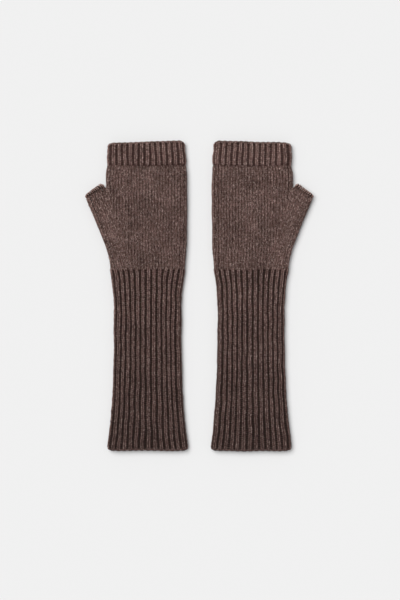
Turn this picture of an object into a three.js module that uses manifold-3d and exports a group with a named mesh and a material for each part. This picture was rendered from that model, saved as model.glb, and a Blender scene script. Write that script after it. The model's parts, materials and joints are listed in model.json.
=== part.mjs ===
// A pair of long fingerless gloves, knitted in wool, lying flat side by side on a table.
//
// Each glove is a flattened tube, open at both ends, with a short thumb sleeve on one side.
// From the elbow end to the fingers it has a rolled hem, a long ribbed sleeve, a plain knitted
// hand with a slanting thumb gusset let into it, a ribbed finger band and a cast-off edge.
// A linked seam runs inside it down the little-finger side.
//
// Units are millimetres and +Z is up. The table is z = 0, the fingers point along +Y, and the
// origin is on the table under the middle of the pair. The thumbs point outwards.
import * as THREE from "three";
import { mergeVertices } from "three/addons/utils/BufferGeometryUtils.js";
import Module from "manifold-3d";

const wasm = await Module();
wasm.setup();

// ---- Driving dimensions -------------------------------------------------------------------

// Lengths along the arm, from the elbow end to the fingers.
const SLEEVE_LENGTH = 200;
const PALM_LENGTH = 116;
const BAND_LENGTH = 24;
const HEM_LENGTH = 3;
const CAST_OFF_LENGTH = 3;

// Flat widths of one glove.
const HEM_WIDTH = 88;
const WAIST_WIDTH = 73.5;
const WRIST_WIDTH = 83;
const PALM_WIDTH = 89.5;
const BAND_WIDTH = 83;

// Where those widths fall.
const FLARE_LENGTH = 56; // the sleeve narrows most quickly in this stretch above its hem
const WAIST_HEIGHT = 128; // from the hem
const WRIST_TAPER = 24; // the sleeve widens towards the hand over this stretch
const PALM_SWELL = 34; // the hand reaches its full width this far above the wrist
const BAND_TUCK_LEAST = 4; // the band draws the hand in over at least this far each side of its line
const BAND_TUCK_SLOPE = 0.5; // and this much further for each millimetre between their widths
const HAND_LEAN = 1.6; // the hand sits this far towards the thumb side

// The thumb.
const CROTCH_HEIGHT = 90; // from the wrist to where the thumb parts from the hand
const THUMB_ANGLE = 37.5; // degrees, between the thumb sleeve and the hand
const THUMB_WIDTH = 24.2;
const THUMB_FREE_LENGTH = 6.5; // the sleeve's length beyond the crotch
const THUMB_EDGE_LENGTH = 4; // the cast-off edge round its opening
const THUMB_HOLLOW = 1.6; // how far the thumb's outer edge draws in, halfway up
const THUMB_ROOT_HEIGHT = 12; // from the wrist to where the thumb's outer edge begins to lean
const THUMB_ROOT_SWELL = 1.5; // how far that point stands out from the wrist
const GUSSET_WIDTH = 26; // of the gusset's foot, along the wrist
const CROTCH_RADIUS = 1.2;

// The fabric, laid flat with the air still in it.
const THICKNESS = 10; // of the whole glove, from the table
const WALL = 2.3;
const EDGE_ROUND = 7; // how far in from a side fold the glove reaches its full thickness
const SEAM_WIDTH = 2.2;
const SEAM_THICKNESS = 1.6;
const SEAM_SETBACK = 0.75; // from the inner face of the side fold

// Folds and the pair.
const FOLD_BELOW_WRIST = 20; // the wrist folds through the ribbing, this far below the hand
const PAIR_GAP = 27.5; // between the two gloves' little-finger sides, at the palm
const CLEARANCE = 0.3; // between neighbouring pieces

// ---- Places that follow from them ---------------------------------------------------------

const LENGTH = SLEEVE_LENGTH + PALM_LENGTH + BAND_LENGTH;
const HEM_Y = -LENGTH / 2;
const WRIST_Y = HEM_Y + SLEEVE_LENGTH;
const BAND_Y = WRIST_Y + PALM_LENGTH;
const TOP_Y = BAND_Y + BAND_LENGTH;
const FOLD_Y = WRIST_Y - FOLD_BELOW_WRIST;
const WAIST_Y = HEM_Y + WAIST_HEIGHT;
const OVERRUN = 24; // how far the whole-glove bodies run past the ends they are trimmed to

const BAND_TUCK = BAND_TUCK_LEAST + BAND_TUCK_SLOPE * Math.abs(PALM_WIDTH - BAND_WIDTH);

const palmSide = (side) => side * (PALM_WIDTH / 2) - HAND_LEAN;
const bandSide = (side) => side * (BAND_WIDTH / 2) - HAND_LEAN;

const radians = THREE.MathUtils.degToRad(THUMB_ANGLE);
const THUMB_AXIS = new THREE.Vector2(-Math.sin(radians), Math.cos(radians));
const THUMB_ACROSS = new THREE.Vector2(-Math.cos(radians), -Math.sin(radians));
const CROTCH = new THREE.Vector2(palmSide(-1), WRIST_Y + CROTCH_HEIGHT);
const THUMB_INNER = along(CROTCH, THUMB_AXIS, THUMB_FREE_LENGTH);
const THUMB_OUTER = along(THUMB_INNER, THUMB_ACROSS, THUMB_WIDTH);
const THUMB_ROOT = new THREE.Vector2(
  -WRIST_WIDTH / 2 - THUMB_ROOT_SWELL,
  WRIST_Y + THUMB_ROOT_HEIGHT,
);
const GUSSET_FOOT = new THREE.Vector2(-WRIST_WIDTH / 2 + GUSSET_WIDTH, WRIST_Y);
// The thumb folds up along the line from here to the crotch.
const FLAP_FOOT = new THREE.Vector2(-WRIST_WIDTH / 2, WRIST_Y);

function along(point, direction, distance) {
  return point.clone().addScaledVector(direction, distance);
}

// ---- The outline of one glove, with its thumb on the -X side ------------------------------

const EDGE_STEP = 12; // between the points of a long edge

function spline(points) {
  const curve = new THREE.SplineCurve(
    points.map(([x, y]) => new THREE.Vector2(x, y)),
  );
  return curve.getSpacedPoints(Math.ceil(curve.getLength() / EDGE_STEP));
}

// The sleeve's edge from below the hem up to the wrist.
function sleeveEdge(side) {
  const hem = (side * HEM_WIDTH) / 2;
  const waist = (side * WAIST_WIDTH) / 2;
  return spline([
    [hem, HEM_Y - OVERRUN],
    [hem, HEM_Y],
    [waist + (hem - waist) * 0.3, HEM_Y + FLARE_LENGTH],
    [waist, WAIST_Y],
    [waist + side, WRIST_Y - WRIST_TAPER],
    [(side * WRIST_WIDTH) / 2, WRIST_Y],
  ]);
}

// The hand's edge through the lower points given and up past the fingers.
function handEdge(side, ...lower) {
  return spline([
    ...lower,
    [palmSide(side), BAND_Y - BAND_TUCK],
    [bandSide(side), BAND_Y + BAND_TUCK],
    [bandSide(side), TOP_Y + OVERRUN],
  ]);
}

function littleFingerEdge() {
  const wrist = [WRIST_WIDTH / 2, WRIST_Y];
  const swell = [palmSide(1), WRIST_Y + PALM_SWELL];
  return [...sleeveEdge(1), ...handEdge(1, wrist, swell).slice(1)];
}

// From the wrist out round the thumb, past its open end and back to the crotch.
function thumbEdge() {
  const outerEnd = along(THUMB_OUTER, THUMB_AXIS, OVERRUN);
  const innerEnd = along(THUMB_INNER, THUMB_AXIS, OVERRUN);
  const middle = THUMB_ROOT.clone().lerp(THUMB_OUTER, 0.5);
  const rising = spline([
    [-WRIST_WIDTH / 2, WRIST_Y],
    THUMB_ROOT.toArray(),
    along(middle, THUMB_ACROSS, -THUMB_HOLLOW).toArray(),
    THUMB_OUTER.toArray(),
  ]);
  return [...rising.slice(1), outerEnd, innerEnd, ...crotchArc()];
}

// A small arc in the corner between the thumb and the hand.
function crotchArc() {
  const half = radians / 2;
  const reach = CROTCH_RADIUS / Math.tan(half);
  const onThumb = along(CROTCH, THUMB_AXIS, reach);
  const onHand = new THREE.Vector2(CROTCH.x, CROTCH.y + reach);
  const corner = new THREE.QuadraticBezierCurve(onThumb, CROTCH, onHand);
  return corner.getPoints(3);
}

function gloveOutline() {
  const reach = CROTCH_RADIUS / Math.tan(radians / 2);
  const aboveCrotch = [CROTCH.x, CROTCH.y + reach];
  const thumbSide = [
    ...sleeveEdge(-1),
    ...thumbEdge(),
    ...handEdge(-1, aboveCrotch).slice(1),
  ];
  return [...littleFingerEdge(), ...thumbSide.reverse()];
}

// The outline with every side moved inwards by inset. It runs anticlockwise, so inwards is to
// the left of each side.
function drawnIn(outline, inset) {
  const inwards = outline.map((point, i) => {
    const side = outline[(i + 1) % outline.length].clone().sub(point).normalize();
    return new THREE.Vector2(-side.y, side.x);
  });
  return outline.map((point, i) => {
    const bisector = inwards.at(i - 1).clone().add(inwards[i]);
    return along(point, bisector, (2 * inset) / bisector.lengthSq());
  });
}

// ---- Solids -------------------------------------------------------------------------------

function solidOf(geometry) {
  const bare = geometry.clone();
  bare.deleteAttribute("normal");
  bare.deleteAttribute("uv");
  const merged = mergeVertices(bare, 1e-4);
  return new wasm.Manifold(
    new wasm.Mesh({
      numProp: 3,
      vertProperties: new Float32Array(merged.attributes.position.array),
      triVerts: new Uint32Array(merged.index.array),
    }),
  );
}

// The outline drawn in by inset, as a pillow from z = low to z = high whose side folds are
// rounded over a width of round.
function pillow(outline, inset, low, high, round, segments) {
  const straight = 0.6; // the flat strip left at the middle of a side fold
  const rise = (high - low - straight) / 2;
  const flat = new THREE.Shape(drawnIn(outline, inset + round));
  const geometry = new THREE.ExtrudeGeometry(flat, {
    depth: straight,
    bevelEnabled: true,
    bevelThickness: rise,
    bevelSize: round,
    bevelSegments: segments,
  });
  geometry.translate(0, 0, low + rise);
  return solidOf(geometry);
}

// A plan of points as a slab with upright sides.
function slab(points, low, high) {
  const geometry = new THREE.ExtrudeGeometry(new THREE.Shape(points), {
    depth: high - low,
    bevelEnabled: false,
  });
  geometry.translate(0, 0, low);
  return solidOf(geometry);
}

// An upright prism over a plan of [x, y] corners, taller than the glove.
function prism(corners) {
  const plan = corners.map(([x, y]) => new THREE.Vector2(x, y));
  return slab(plan, -OVERRUN, THICKNESS + OVERRUN);
}

const FAR = LENGTH; // further out than any piece reaches

// The strip between two heights, across the whole glove, less half a clearance at each end.
function strip(low, high) {
  const from = low + CLEARANCE / 2;
  const to = high - CLEARANCE / 2;
  return prism([
    [-FAR, from],
    [FAR, from],
    [FAR, to],
    [-FAR, to],
  ]);
}

// Everything on the left of the line from a to b, kept half a clearance off it.
function leftOf(a, b) {
  const direction = b.clone().sub(a).normalize();
  const aside = new THREE.Vector2(-direction.y, direction.x);
  const foot = along(along(a, direction, -FAR), aside, CLEARANCE / 2);
  const head = along(along(b, direction, FAR), aside, CLEARANCE / 2);
  return prism([
    foot.toArray(),
    head.toArray(),
    along(head, aside, FAR).toArray(),
    along(foot, aside, FAR).toArray(),
  ]);
}

function allOf(first, ...others) {
  return others.reduce((made, other) => made.intersect(other), first);
}

// ---- The pieces of one glove --------------------------------------------------------------

function glovePieces() {
  const outline = gloveOutline();
  const body = pillow(outline, 0, 0, THICKNESS, EDGE_ROUND, 3);
  const inside = pillow(
    outline,
    WALL,
    WALL,
    THICKNESS - WALL,
    EDGE_ROUND - WALL,
    2,
  );
  const fabric = body.subtract(inside);

  const palm = strip(WRIST_Y, BAND_Y);
  const edgeInner = along(THUMB_INNER, THUMB_AXIS, -THUMB_EDGE_LENGTH);
  const edgeOuter = along(THUMB_OUTER, THUMB_AXIS, -THUMB_EDGE_LENGTH);
  const thumbSide = allOf(palm, leftOf(FLAP_FOOT, CROTCH));
  const handSide = allOf(palm, leftOf(CROTCH, FLAP_FOOT));

  return {
    hem: allOf(fabric, strip(HEM_Y - CLEARANCE / 2, HEM_Y + HEM_LENGTH)),
    forearm_rib: allOf(fabric, strip(HEM_Y + HEM_LENGTH, FOLD_Y)),
    wrist_rib: allOf(fabric, strip(FOLD_Y, WRIST_Y)),
    hand_knit: allOf(fabric, handSide, leftOf(CROTCH, GUSSET_FOOT)),
    thumb_gusset: allOf(fabric, handSide, leftOf(GUSSET_FOOT, CROTCH)),
    thumb_sleeve: allOf(fabric, thumbSide, leftOf(edgeInner, edgeOuter)),
    thumb_cast_off: allOf(
      fabric,
      thumbSide,
      leftOf(edgeOuter, edgeInner),
      leftOf(THUMB_INNER, THUMB_OUTER),
    ),
    finger_band: allOf(fabric, strip(BAND_Y, TOP_Y - CAST_OFF_LENGTH)),
    cast_off_edge: allOf(
      fabric,
      strip(TOP_Y - CAST_OFF_LENGTH, TOP_Y + CLEARANCE / 2),
    ),
    forearm_seam: seam(outline, HEM_Y + HEM_LENGTH, FOLD_Y),
    hand_seam: seam(outline, FOLD_Y, TOP_Y - CAST_OFF_LENGTH),
  };
}

// A ridge inside the little-finger fold, between two heights.
function seam(outline, low, high) {
  const middle = THICKNESS / 2;
  const from = middle - SEAM_THICKNESS / 2;
  const to = middle + SEAM_THICKNESS / 2;
  const setback = WALL + SEAM_SETBACK;
  const outer = slab(drawnIn(outline, setback), from, to);
  const inner = slab(drawnIn(outline, setback + SEAM_WIDTH), from - 1, to + 1);
  const littleFingerSide = prism([
    [0, low + CLEARANCE / 2],
    [FAR, low + CLEARANCE / 2],
    [FAR, high - CLEARANCE / 2],
    [0, high - CLEARANCE / 2],
  ]);
  return allOf(outer.subtract(inner), littleFingerSide);
}

// ---- The pair -----------------------------------------------------------------------------

const wool = {
  rib: new THREE.MeshStandardMaterial({ color: 0x46352f, roughness: 0.95 }),
  plain: new THREE.MeshStandardMaterial({ color: 0x59473f, roughness: 0.95 }),
  edge: new THREE.MeshStandardMaterial({ color: 0x4d3b35, roughness: 0.95 }),
  seam: new THREE.MeshStandardMaterial({ color: 0x40302b, roughness: 0.95 }),
};

const MATERIAL_OF = {
  hem: wool.edge,
  forearm_rib: wool.rib,
  wrist_rib: wool.rib,
  hand_knit: wool.plain,
  thumb_gusset: wool.plain,
  thumb_sleeve: wool.plain,
  thumb_cast_off: wool.edge,
  finger_band: wool.rib,
  cast_off_edge: wool.edge,
  forearm_seam: wool.seam,
  hand_seam: wool.seam,
};

// A solid as geometry. The other glove of the pair is mirrored, so its faces turn round.
function geometryOf(solid, mirrored) {
  const made = mirrored ? solid.mirror([1, 0, 0]) : solid;
  const mesh = made.getMesh();
  const places = new Float32Array(mesh.numVert * 3);
  for (let i = 0; i < mesh.numVert; i++) {
    places.set(mesh.vertProperties.subarray(i * mesh.numProp, i * mesh.numProp + 3), i * 3);
  }
  const geometry = new THREE.BufferGeometry();
  geometry.setAttribute("position", new THREE.BufferAttribute(places, 3));
  geometry.setIndex(new THREE.BufferAttribute(mesh.triVerts, 1));
  geometry.computeVertexNormals();
  return geometry;
}

function glove(name, pieces, mirrored) {
  const group = new THREE.Group();
  for (const [part, solid] of Object.entries(pieces)) {
    const mesh = new THREE.Mesh(geometryOf(solid, mirrored), MATERIAL_OF[part]);
    mesh.name = `${name}_${part}`;
    group.add(mesh);
  }
  const reach = PAIR_GAP / 2 + palmSide(1);
  group.position.x = mirrored ? reach : -reach;
  return group;
}

const pieces = glovePieces();
const pair = new THREE.Group();
pair.add(glove("left", pieces, false), glove("right", pieces, true));

export default pair;
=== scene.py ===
# %% [markdown]
# # A pair of long knitted fingerless gloves
# This notebook dresses a plain model of two gloves in real knitting. The plain model is the frame: it
# gives every size and it knows how the gloves fold. Here each row of stitches is made as a length of
# yarn, looped as a needle loops it, so that the ribs, the gusset and the edges come out as they do in
# wool. Load the frame first, because every later size is measured from it.

# %% Load the frame
from collections import namedtuple

import bpy
import numpy as np
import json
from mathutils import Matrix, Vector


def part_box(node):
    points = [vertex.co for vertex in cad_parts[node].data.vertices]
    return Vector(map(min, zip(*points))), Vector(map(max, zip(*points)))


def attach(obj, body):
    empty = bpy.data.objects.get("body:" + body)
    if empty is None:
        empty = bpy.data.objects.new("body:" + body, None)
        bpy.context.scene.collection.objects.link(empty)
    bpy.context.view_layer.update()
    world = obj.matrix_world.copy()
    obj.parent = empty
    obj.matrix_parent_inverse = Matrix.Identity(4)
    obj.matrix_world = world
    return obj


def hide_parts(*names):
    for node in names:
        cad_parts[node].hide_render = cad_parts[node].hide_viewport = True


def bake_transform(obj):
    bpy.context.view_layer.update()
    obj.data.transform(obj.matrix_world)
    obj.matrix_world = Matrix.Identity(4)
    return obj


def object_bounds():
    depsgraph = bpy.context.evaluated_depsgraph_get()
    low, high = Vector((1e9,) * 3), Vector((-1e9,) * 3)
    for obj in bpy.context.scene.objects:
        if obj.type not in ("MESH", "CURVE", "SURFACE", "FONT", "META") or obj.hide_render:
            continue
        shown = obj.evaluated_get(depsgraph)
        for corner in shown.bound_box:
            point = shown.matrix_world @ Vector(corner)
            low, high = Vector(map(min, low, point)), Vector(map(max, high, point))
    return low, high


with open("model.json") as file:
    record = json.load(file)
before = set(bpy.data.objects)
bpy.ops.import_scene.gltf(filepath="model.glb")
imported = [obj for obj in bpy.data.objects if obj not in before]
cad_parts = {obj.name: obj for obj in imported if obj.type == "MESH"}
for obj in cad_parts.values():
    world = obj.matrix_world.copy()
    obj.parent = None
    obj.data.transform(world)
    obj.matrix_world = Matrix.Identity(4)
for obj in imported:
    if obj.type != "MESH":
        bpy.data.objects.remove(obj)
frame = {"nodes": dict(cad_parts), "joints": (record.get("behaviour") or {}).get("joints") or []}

MM = 0.001
CAD_BOX = [list(corner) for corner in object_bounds()]
print("box of the plain model, in metres:", CAD_BOX)

# %% [markdown]
# ## The camera and the light
# The gloves lie on a pale sheet and are seen from straight above, so the camera looks down from far
# enough away that the sides of the gloves stay hidden. A large soft light from the upper left leaves
# faint shadows on the right and below. A sun with a wide disc lights the whole sheet evenly, which a
# lamp close to the gloves would not, and the pale world fills the shadows.

# %% Camera
scene = bpy.context.scene
scene.view_settings.view_transform = "Standard"

VIEW_HEIGHT = 660 * MM       # what the camera sees at the gloves, nearly twice their length
LENS = 85                    # in mm, as is the sensor's height
SENSOR = 36
MIDDLE_OF_VIEW = (0.7 * MM, -4.2 * MM)
GLOVE_MIDDLE_Z = CAD_BOX[1][2] / 2

camera_data = bpy.data.cameras.new("overhead_camera")
camera_data.sensor_fit = "VERTICAL"
camera_data.sensor_height = SENSOR
camera_data.lens = LENS
camera = bpy.data.objects.new("overhead_camera", camera_data)
scene.collection.objects.link(camera)
CAMERA_HEIGHT = VIEW_HEIGHT * LENS / SENSOR
camera.location = (*MIDDLE_OF_VIEW, GLOVE_MIDDLE_Z + CAMERA_HEIGHT)
scene.camera = camera
print("camera height in metres:", round(camera.location.z, 3))

# %% Light
SUN_STRENGTH = 3.02
SUN_WIDTH = np.radians(50)
SUN_TILT = np.radians(27)
SUN_FROM = np.radians(-38)
WORLD_STRENGTH = 0.26

sun_data = bpy.data.lights.new("soft_window", "SUN")
sun_data.energy = SUN_STRENGTH
sun_data.angle = SUN_WIDTH
sun = bpy.data.objects.new("soft_window", sun_data)
scene.collection.objects.link(sun)
sun.rotation_euler = (0, -SUN_TILT, SUN_FROM)

world = bpy.data.worlds.new("pale_room")
world.use_nodes = True
world.node_tree.nodes["Background"].inputs["Color"].default_value = (1, 1, 1, 1)
world.node_tree.nodes["Background"].inputs["Strength"].default_value = WORLD_STRENGTH
scene.world = world

# %% [markdown]
# ## Writing shader maths as plain sums
# A wool shader is mostly arithmetic: stripes for the twist of the yarn, noise for the mixed fibres, and
# thresholds for pale flecks. Wiring each sum by hand hides the idea, so a small class wraps a socket and
# lets Python's own operators add the Math nodes.

# %% Sockets as numbers
class Wire:
    """One output socket of a shader. Sums on wires add Math nodes, and node() adds any other kind."""

    def __init__(self, tree, socket):
        self.tree = tree
        self.socket = socket

    def node(self, kind, settings=None, output=0, **inputs):
        """Adds a node of a kind, sets its settings, then its inputs, and returns its output. An input is
        given by its name, or by its place where names repeat: _0 is the first socket."""
        made = self.tree.nodes.new(kind)
        for name, value in (settings or {}).items():
            setattr(made, name, value)
        for name, value in inputs.items():
            socket = made.inputs[int(name[1:])] if name[0] == "_" else made.inputs[name.replace("_", " ")]
            if isinstance(value, Wire):
                self.tree.links.new(value.socket, socket)
            else:
                socket.default_value = value
        return Wire(self.tree, made.outputs[output])

    def maths(self, operation, *values):
        """One Math node on some wires and numbers."""
        sockets = {f"_{place}": value for place, value in enumerate(values)}
        return self.node("ShaderNodeMath", {"operation": operation}, **sockets)

    def __add__(self, other):
        return self.maths("ADD", self, other)

    __radd__ = __add__

    def __mul__(self, other):
        return self.maths("MULTIPLY", self, other)

    __rmul__ = __mul__

    def sine(self):
        """The sine of the wire, in radians."""
        return self.maths("SINE", self)

    def between(self, low, high):
        """0 below low, 1 above high, and a smooth rise from one to the other."""
        settings = {"interpolation_type": "SMOOTHSTEP"}
        return self.node("ShaderNodeMapRange", settings, Value=self, From_Min=low, From_Max=high)

    def mix(self, first, second):
        """The first colour where this is 0 and the second where it is 1."""
        settings = {"data_type": "RGBA"}
        return self.node("ShaderNodeMix", settings, 2, _0=self, _6=first, _7=second)


# %% [markdown]
# ## The wool
# The yarn is a mottled brown: dark and mid-brown fibres are carded together with a few pale ones, so
# colour changes every millimetre or so along a strand and small pale flecks lie along it. Two plies are
# twisted round each other. The colour follows the yarn, so the flecks are drawn in the yarn's own
# coordinates, which every strand carries: its length, in metres, and the turn around it. Wool scatters
# light off its fibres, so it is rough, with a faint sheen and no gloss. Each strand also carries its
# depth in the fabric, and the colour darkens with it. This is a painted shade for the shade that falls
# deep between the loops, under a haze of loose fibres that the mesh mostly lacks. A slow painted shade
# also darkens the gloves towards the elbow, where less light falls on them than at the fingers.

# %% Wool material
PATCH_SCALE = 70.0       # soft patches per metre of the glove
MOTTLE = (430, 0.8)      # changes of tone per metre along the yarn, and per turn around it
FLECK = (400, 5)
HAIR = (900, 14)
PLY_TWIST = 2400         # radians per metre; two plies wind round each other
BUMP_DEPTH = 0.2 * MM
TONE_RISE = (0.40, 0.58)     # where each noise turns from the first colour to the second
FLECK_RISE = (0.56, 0.66)
HAIR_RISE = (0.35, 0.75)
# Painted shade: the deeper the yarn lies in the fabric, the nearer its colour comes to the painted shade
# colour below.
SHADE_DEPTH_RISE = (-0.3, 1.05)    # 0 is the middle of the fabric and 1 is its face
WOOL_PAINTED_SHADE = (0.020, 0.009, 0.007, 1)
# Painted shade: the light falls off towards the elbow, so there the colour is multiplied down by the first
# of these, and at the fingers it is left whole.
ELBOW_PAINTED_SHADE = (0.55, 0.55, 0.55, 1)
FINGER_FULL_LIGHT = (1, 1, 1, 1)
FALLOFF_REACH = 200 * MM


def wool(name, dark, middle, pale, fleck_amount, shade_colour=WOOL_PAINTED_SHADE):
    """Mottled wool. Colour = dark to middle by coarse noise, then pale flecks and hairs stretched along
    the yarn, then painted shade by the depth in the fabric, all times a slow painted shade along the glove."""
    material = bpy.data.materials.new(name)
    material.use_nodes = True
    tree = material.node_tree
    shader = tree.nodes["Principled BSDF"]
    start = Wire(tree, None)

    place = start.node("ShaderNodeTexCoord", None, "Object")
    yarn = start.node("ShaderNodeUVMap", {"uv_map": "yarn"})
    along = yarn.node("ShaderNodeSeparateXYZ", None, "X", Vector=yarn)
    around = yarn.node("ShaderNodeSeparateXYZ", None, "Y", Vector=yarn)

    def along_yarn(pitch, shelf, detail):
        """Noise in the yarn's coordinates. Noises on different shelves have nothing in common."""
        x = along * pitch[0]
        y = around * pitch[1]
        stretched = x.node("ShaderNodeCombineXYZ", None, 0, X=x, Y=y, Z=shelf)
        return stretched.node("ShaderNodeTexNoise", None, "Fac", Vector=stretched, Scale=1.0, Detail=detail)

    patches = place.node("ShaderNodeTexNoise", None, "Fac", Vector=place, Scale=PATCH_SCALE, Detail=2.0)
    mottle = along_yarn(MOTTLE, 5.0, 1.0)
    fleck = along_yarn(FLECK, 0.0, 1.0)
    hair = along_yarn(HAIR, 0.0, 2.0)

    depth = start.node("ShaderNodeAttribute", {"attribute_name": "depth"}, "Fac")

    tone = (mottle * 0.85 + patches * 0.15).between(*TONE_RISE)
    base = tone.mix(dark, middle)
    flecked = (fleck.between(*FLECK_RISE) * fleck_amount).mix(base, pale)
    streaky = (hair.between(*HAIR_RISE) * 0.15).mix(flecked, pale)
    # painted shade: yarn deep in the fabric is painted darker
    shaded = depth.between(*SHADE_DEPTH_RISE).mix(shade_colour, streaky)
    # painted shade: darker towards the elbow, where less light falls
    height = place.node("ShaderNodeSeparateXYZ", None, "Y", Vector=place)
    light_falloff = height.between(-FALLOFF_REACH, FALLOFF_REACH).mix(ELBOW_PAINTED_SHADE, FINGER_FULL_LIGHT)
    multiply = {"data_type": "RGBA", "blend_type": "MULTIPLY"}
    falloff_shaded = shaded.node("ShaderNodeMix", multiply, 2, _0=1.0, _6=shaded, _7=light_falloff)
    tree.links.new(falloff_shaded.socket, shader.inputs["Base Color"])

    plies = (along * PLY_TWIST + around * (4 * np.pi)).sine() * 0.5 + 0.5
    relief = plies * 0.7 + hair * 0.6
    bump = relief.node("ShaderNodeBump", None, "Normal", Height=relief, Strength=0.7, Distance=BUMP_DEPTH)
    tree.links.new(bump.socket, shader.inputs["Normal"])

    shader.inputs["Roughness"].default_value = 0.95
    shader.inputs["Specular IOR Level"].default_value = 0.1
    shader.inputs["Sheen Weight"].default_value = 0.10
    shader.inputs["Sheen Roughness"].default_value = 0.6
    shader.inputs["Sheen Tint"].default_value = (0.75, 0.55, 0.48, 1)
    return material


# %% [markdown]
# One yarn is used all over, but it does not look the same everywhere. Ribbing is a touch darker than
# the plain hand, the band's grooves are given a lighter painted shade, and the edges and the thumb's bars
# show more of the pale fibres, because their strands lie on top.

# %% The five wools
WOOL_DARK = (0.041, 0.021, 0.017, 1)
WOOL_MIDDLE = (0.183, 0.102, 0.089, 1)
WOOL_PALE = (0.62, 0.45, 0.40, 1)
RIB_DARK = (0.044, 0.022, 0.019, 1)
RIB_MIDDLE = (0.192, 0.105, 0.092, 1)
BAND_MIDDLE = (0.212, 0.119, 0.105, 1)
# the band's painted shade in its grooves is lighter than the other wools'
BAND_PAINTED_SHADE = (0.045, 0.022, 0.019, 1)
BAR_MIDDLE = (0.34, 0.215, 0.185, 1)
plain_wool = wool("plain_wool", WOOL_DARK, WOOL_MIDDLE, WOOL_PALE, 0.9)
rib_wool = wool("rib_wool", RIB_DARK, RIB_MIDDLE, WOOL_PALE, 0.95)
band_wool = wool("band_wool", WOOL_DARK, BAND_MIDDLE, WOOL_PALE, 0.9, BAND_PAINTED_SHADE)
edge_wool = wool("edge_wool", RIB_DARK, WOOL_MIDDLE, WOOL_PALE, 1.0)
bar_wool = wool("bar_wool", WOOL_MIDDLE, BAR_MIDDLE, WOOL_PALE, 1.0)
print("wools:", [made.name for made in (plain_wool, rib_wool, band_wool, edge_wool, bar_wool)])

# %% [markdown]
# ## The shape of a glove, read from the frame
# A glove lying flat is two sheets of knitting joined by soft folds down its sides. The edges of the
# plain model give where the folds are at every height. The right glove is the left one's mirror image,
# so only the left one is measured. Yarn has thickness, so the middle of the fabric lies a little
# inside those edges.

# %% Edges at each height
STEP = 1 * MM                # between the heights where the edges are read
EDGE_SMOOTH = 5 * MM         # facets and small corners of the edges are smoothed over this width
HAND_SMOOTH = 4 * MM
HEM_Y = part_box("left_hem")[0].y
WRIST_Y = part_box("left_wrist_rib")[1].y
BAND_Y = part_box("left_finger_band")[0].y
TOP_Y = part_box("left_cast_off_edge")[1].y
CROTCH_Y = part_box("left_thumb_gusset")[1].y
HEIGHTS = np.arange(HEM_Y, TOP_Y, STEP)


def sides_at(names, heights):
    """Lowest and highest x of some nodes at each height: where their triangles' sides cross it."""
    lows = []
    highs = []
    for name in names:
        mesh = frame["nodes"][name].data
        points = np.empty(len(mesh.vertices) * 3)
        mesh.vertices.foreach_get("co", points)
        ends = np.empty(len(mesh.edges) * 2, int)
        mesh.edges.foreach_get("vertices", ends)
        a, b = points.reshape(-1, 3)[ends.reshape(-1, 2)].transpose(1, 0, 2)
        rise = b[:, 1] - a[:, 1]
        share = (heights[:, None] - a[:, 1]) / np.where(rise == 0, 1, rise)
        crosses = (share >= 0) & (share <= 1) & (rise != 0)
        x = a[:, 0] + share * (b[:, 0] - a[:, 0])
        lows.append(np.where(crosses, x, np.inf).min(1))
        highs.append(np.where(crosses, x, -np.inf).max(1))
    return np.min(lows, 0), np.max(highs, 0)


def smooth(values, width):
    """A running average with a bell-shaped weight, width metres wide, that keeps the end values."""
    reach = int(3 * width / STEP)
    bell = np.exp(-0.5 * (np.arange(-reach, reach + 1) * STEP / width) ** 2)
    padded = np.pad(values, reach, mode="reflect", reflect_type="odd")
    return np.convolve(padded, bell / bell.sum(), "valid")


def filled(values):
    """Fills gaps, where no node crosses a height, from the neighbouring heights."""
    good = np.isfinite(values)
    return np.interp(HEIGHTS, HEIGHTS[good], values[good])


SLEEVE_NODES = ["left_hem", "left_forearm_rib", "left_wrist_rib"]
BAND_NODES = ["left_finger_band", "left_cast_off_edge"]
THUMB_NODES = ["left_thumb_gusset", "left_thumb_sleeve", "left_thumb_cast_off"]
tube_left, tube_right = sides_at(SLEEVE_NODES + BAND_NODES, HEIGHTS)
palm_left, palm_right = sides_at(["left_hand_knit"], HEIGHTS)
thumb_left, _ = sides_at(THUMB_NODES, HEIGHTS)
RIGHT_EDGE = smooth(filled(np.maximum(tube_right, palm_right)), EDGE_SMOOTH)
above_crotch = HEIGHTS > CROTCH_Y
HAND_LEFT = np.where(above_crotch, np.minimum(tube_left, palm_left), np.inf)
print("flat width at the hem, mm:", round((tube_right - tube_left)[5] / MM, 1))

# %% [markdown]
# The thumb leaves the hand at the crotch. Its sleeve is cut off square, so two corners of its edge
# give its direction and its width.

# %% Thumb corners
def corner_of(name, axis, sign):
    """The x and y of a node's furthest vertex along an axis."""
    mesh = frame["nodes"][name].data
    points = np.empty(len(mesh.vertices) * 3)
    mesh.vertices.foreach_get("co", points)
    points = points.reshape(-1, 3)
    return points[np.argmax(sign * points[:, axis]), :2]


THUMB_INNER = corner_of("left_thumb_cast_off", 1, 1)
THUMB_OUTER = corner_of("left_thumb_cast_off", 0, -1)
CROTCH = corner_of("left_thumb_gusset", 1, 1)
GUSSET_FOOT = np.array([palm_left[HEIGHTS > WRIST_Y + MM][0], WRIST_Y])
rim_line = THUMB_OUTER - THUMB_INNER
THUMB_WIDTH = np.linalg.norm(rim_line)
THUMB_ACROSS = rim_line / THUMB_WIDTH
THUMB_AXIS = np.array([THUMB_ACROSS[1], -THUMB_ACROSS[0]])
print("thumb width, mm:", round(THUMB_WIDTH / MM, 1), "direction:", THUMB_AXIS.round(3))

# %% [markdown]
# ## Folding the flat fabric
# Every stitch is first placed on paper, as a knitting chart lies flat: an x, a height y, and which of
# the two sheets it is on. Folding then lifts the middle of the sheet to the glove's top or underside
# and rolls it round each side fold on a quarter of an ellipse. Working on paper keeps the stitches
# evenly spaced round the fold, as real ones are.

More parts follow.
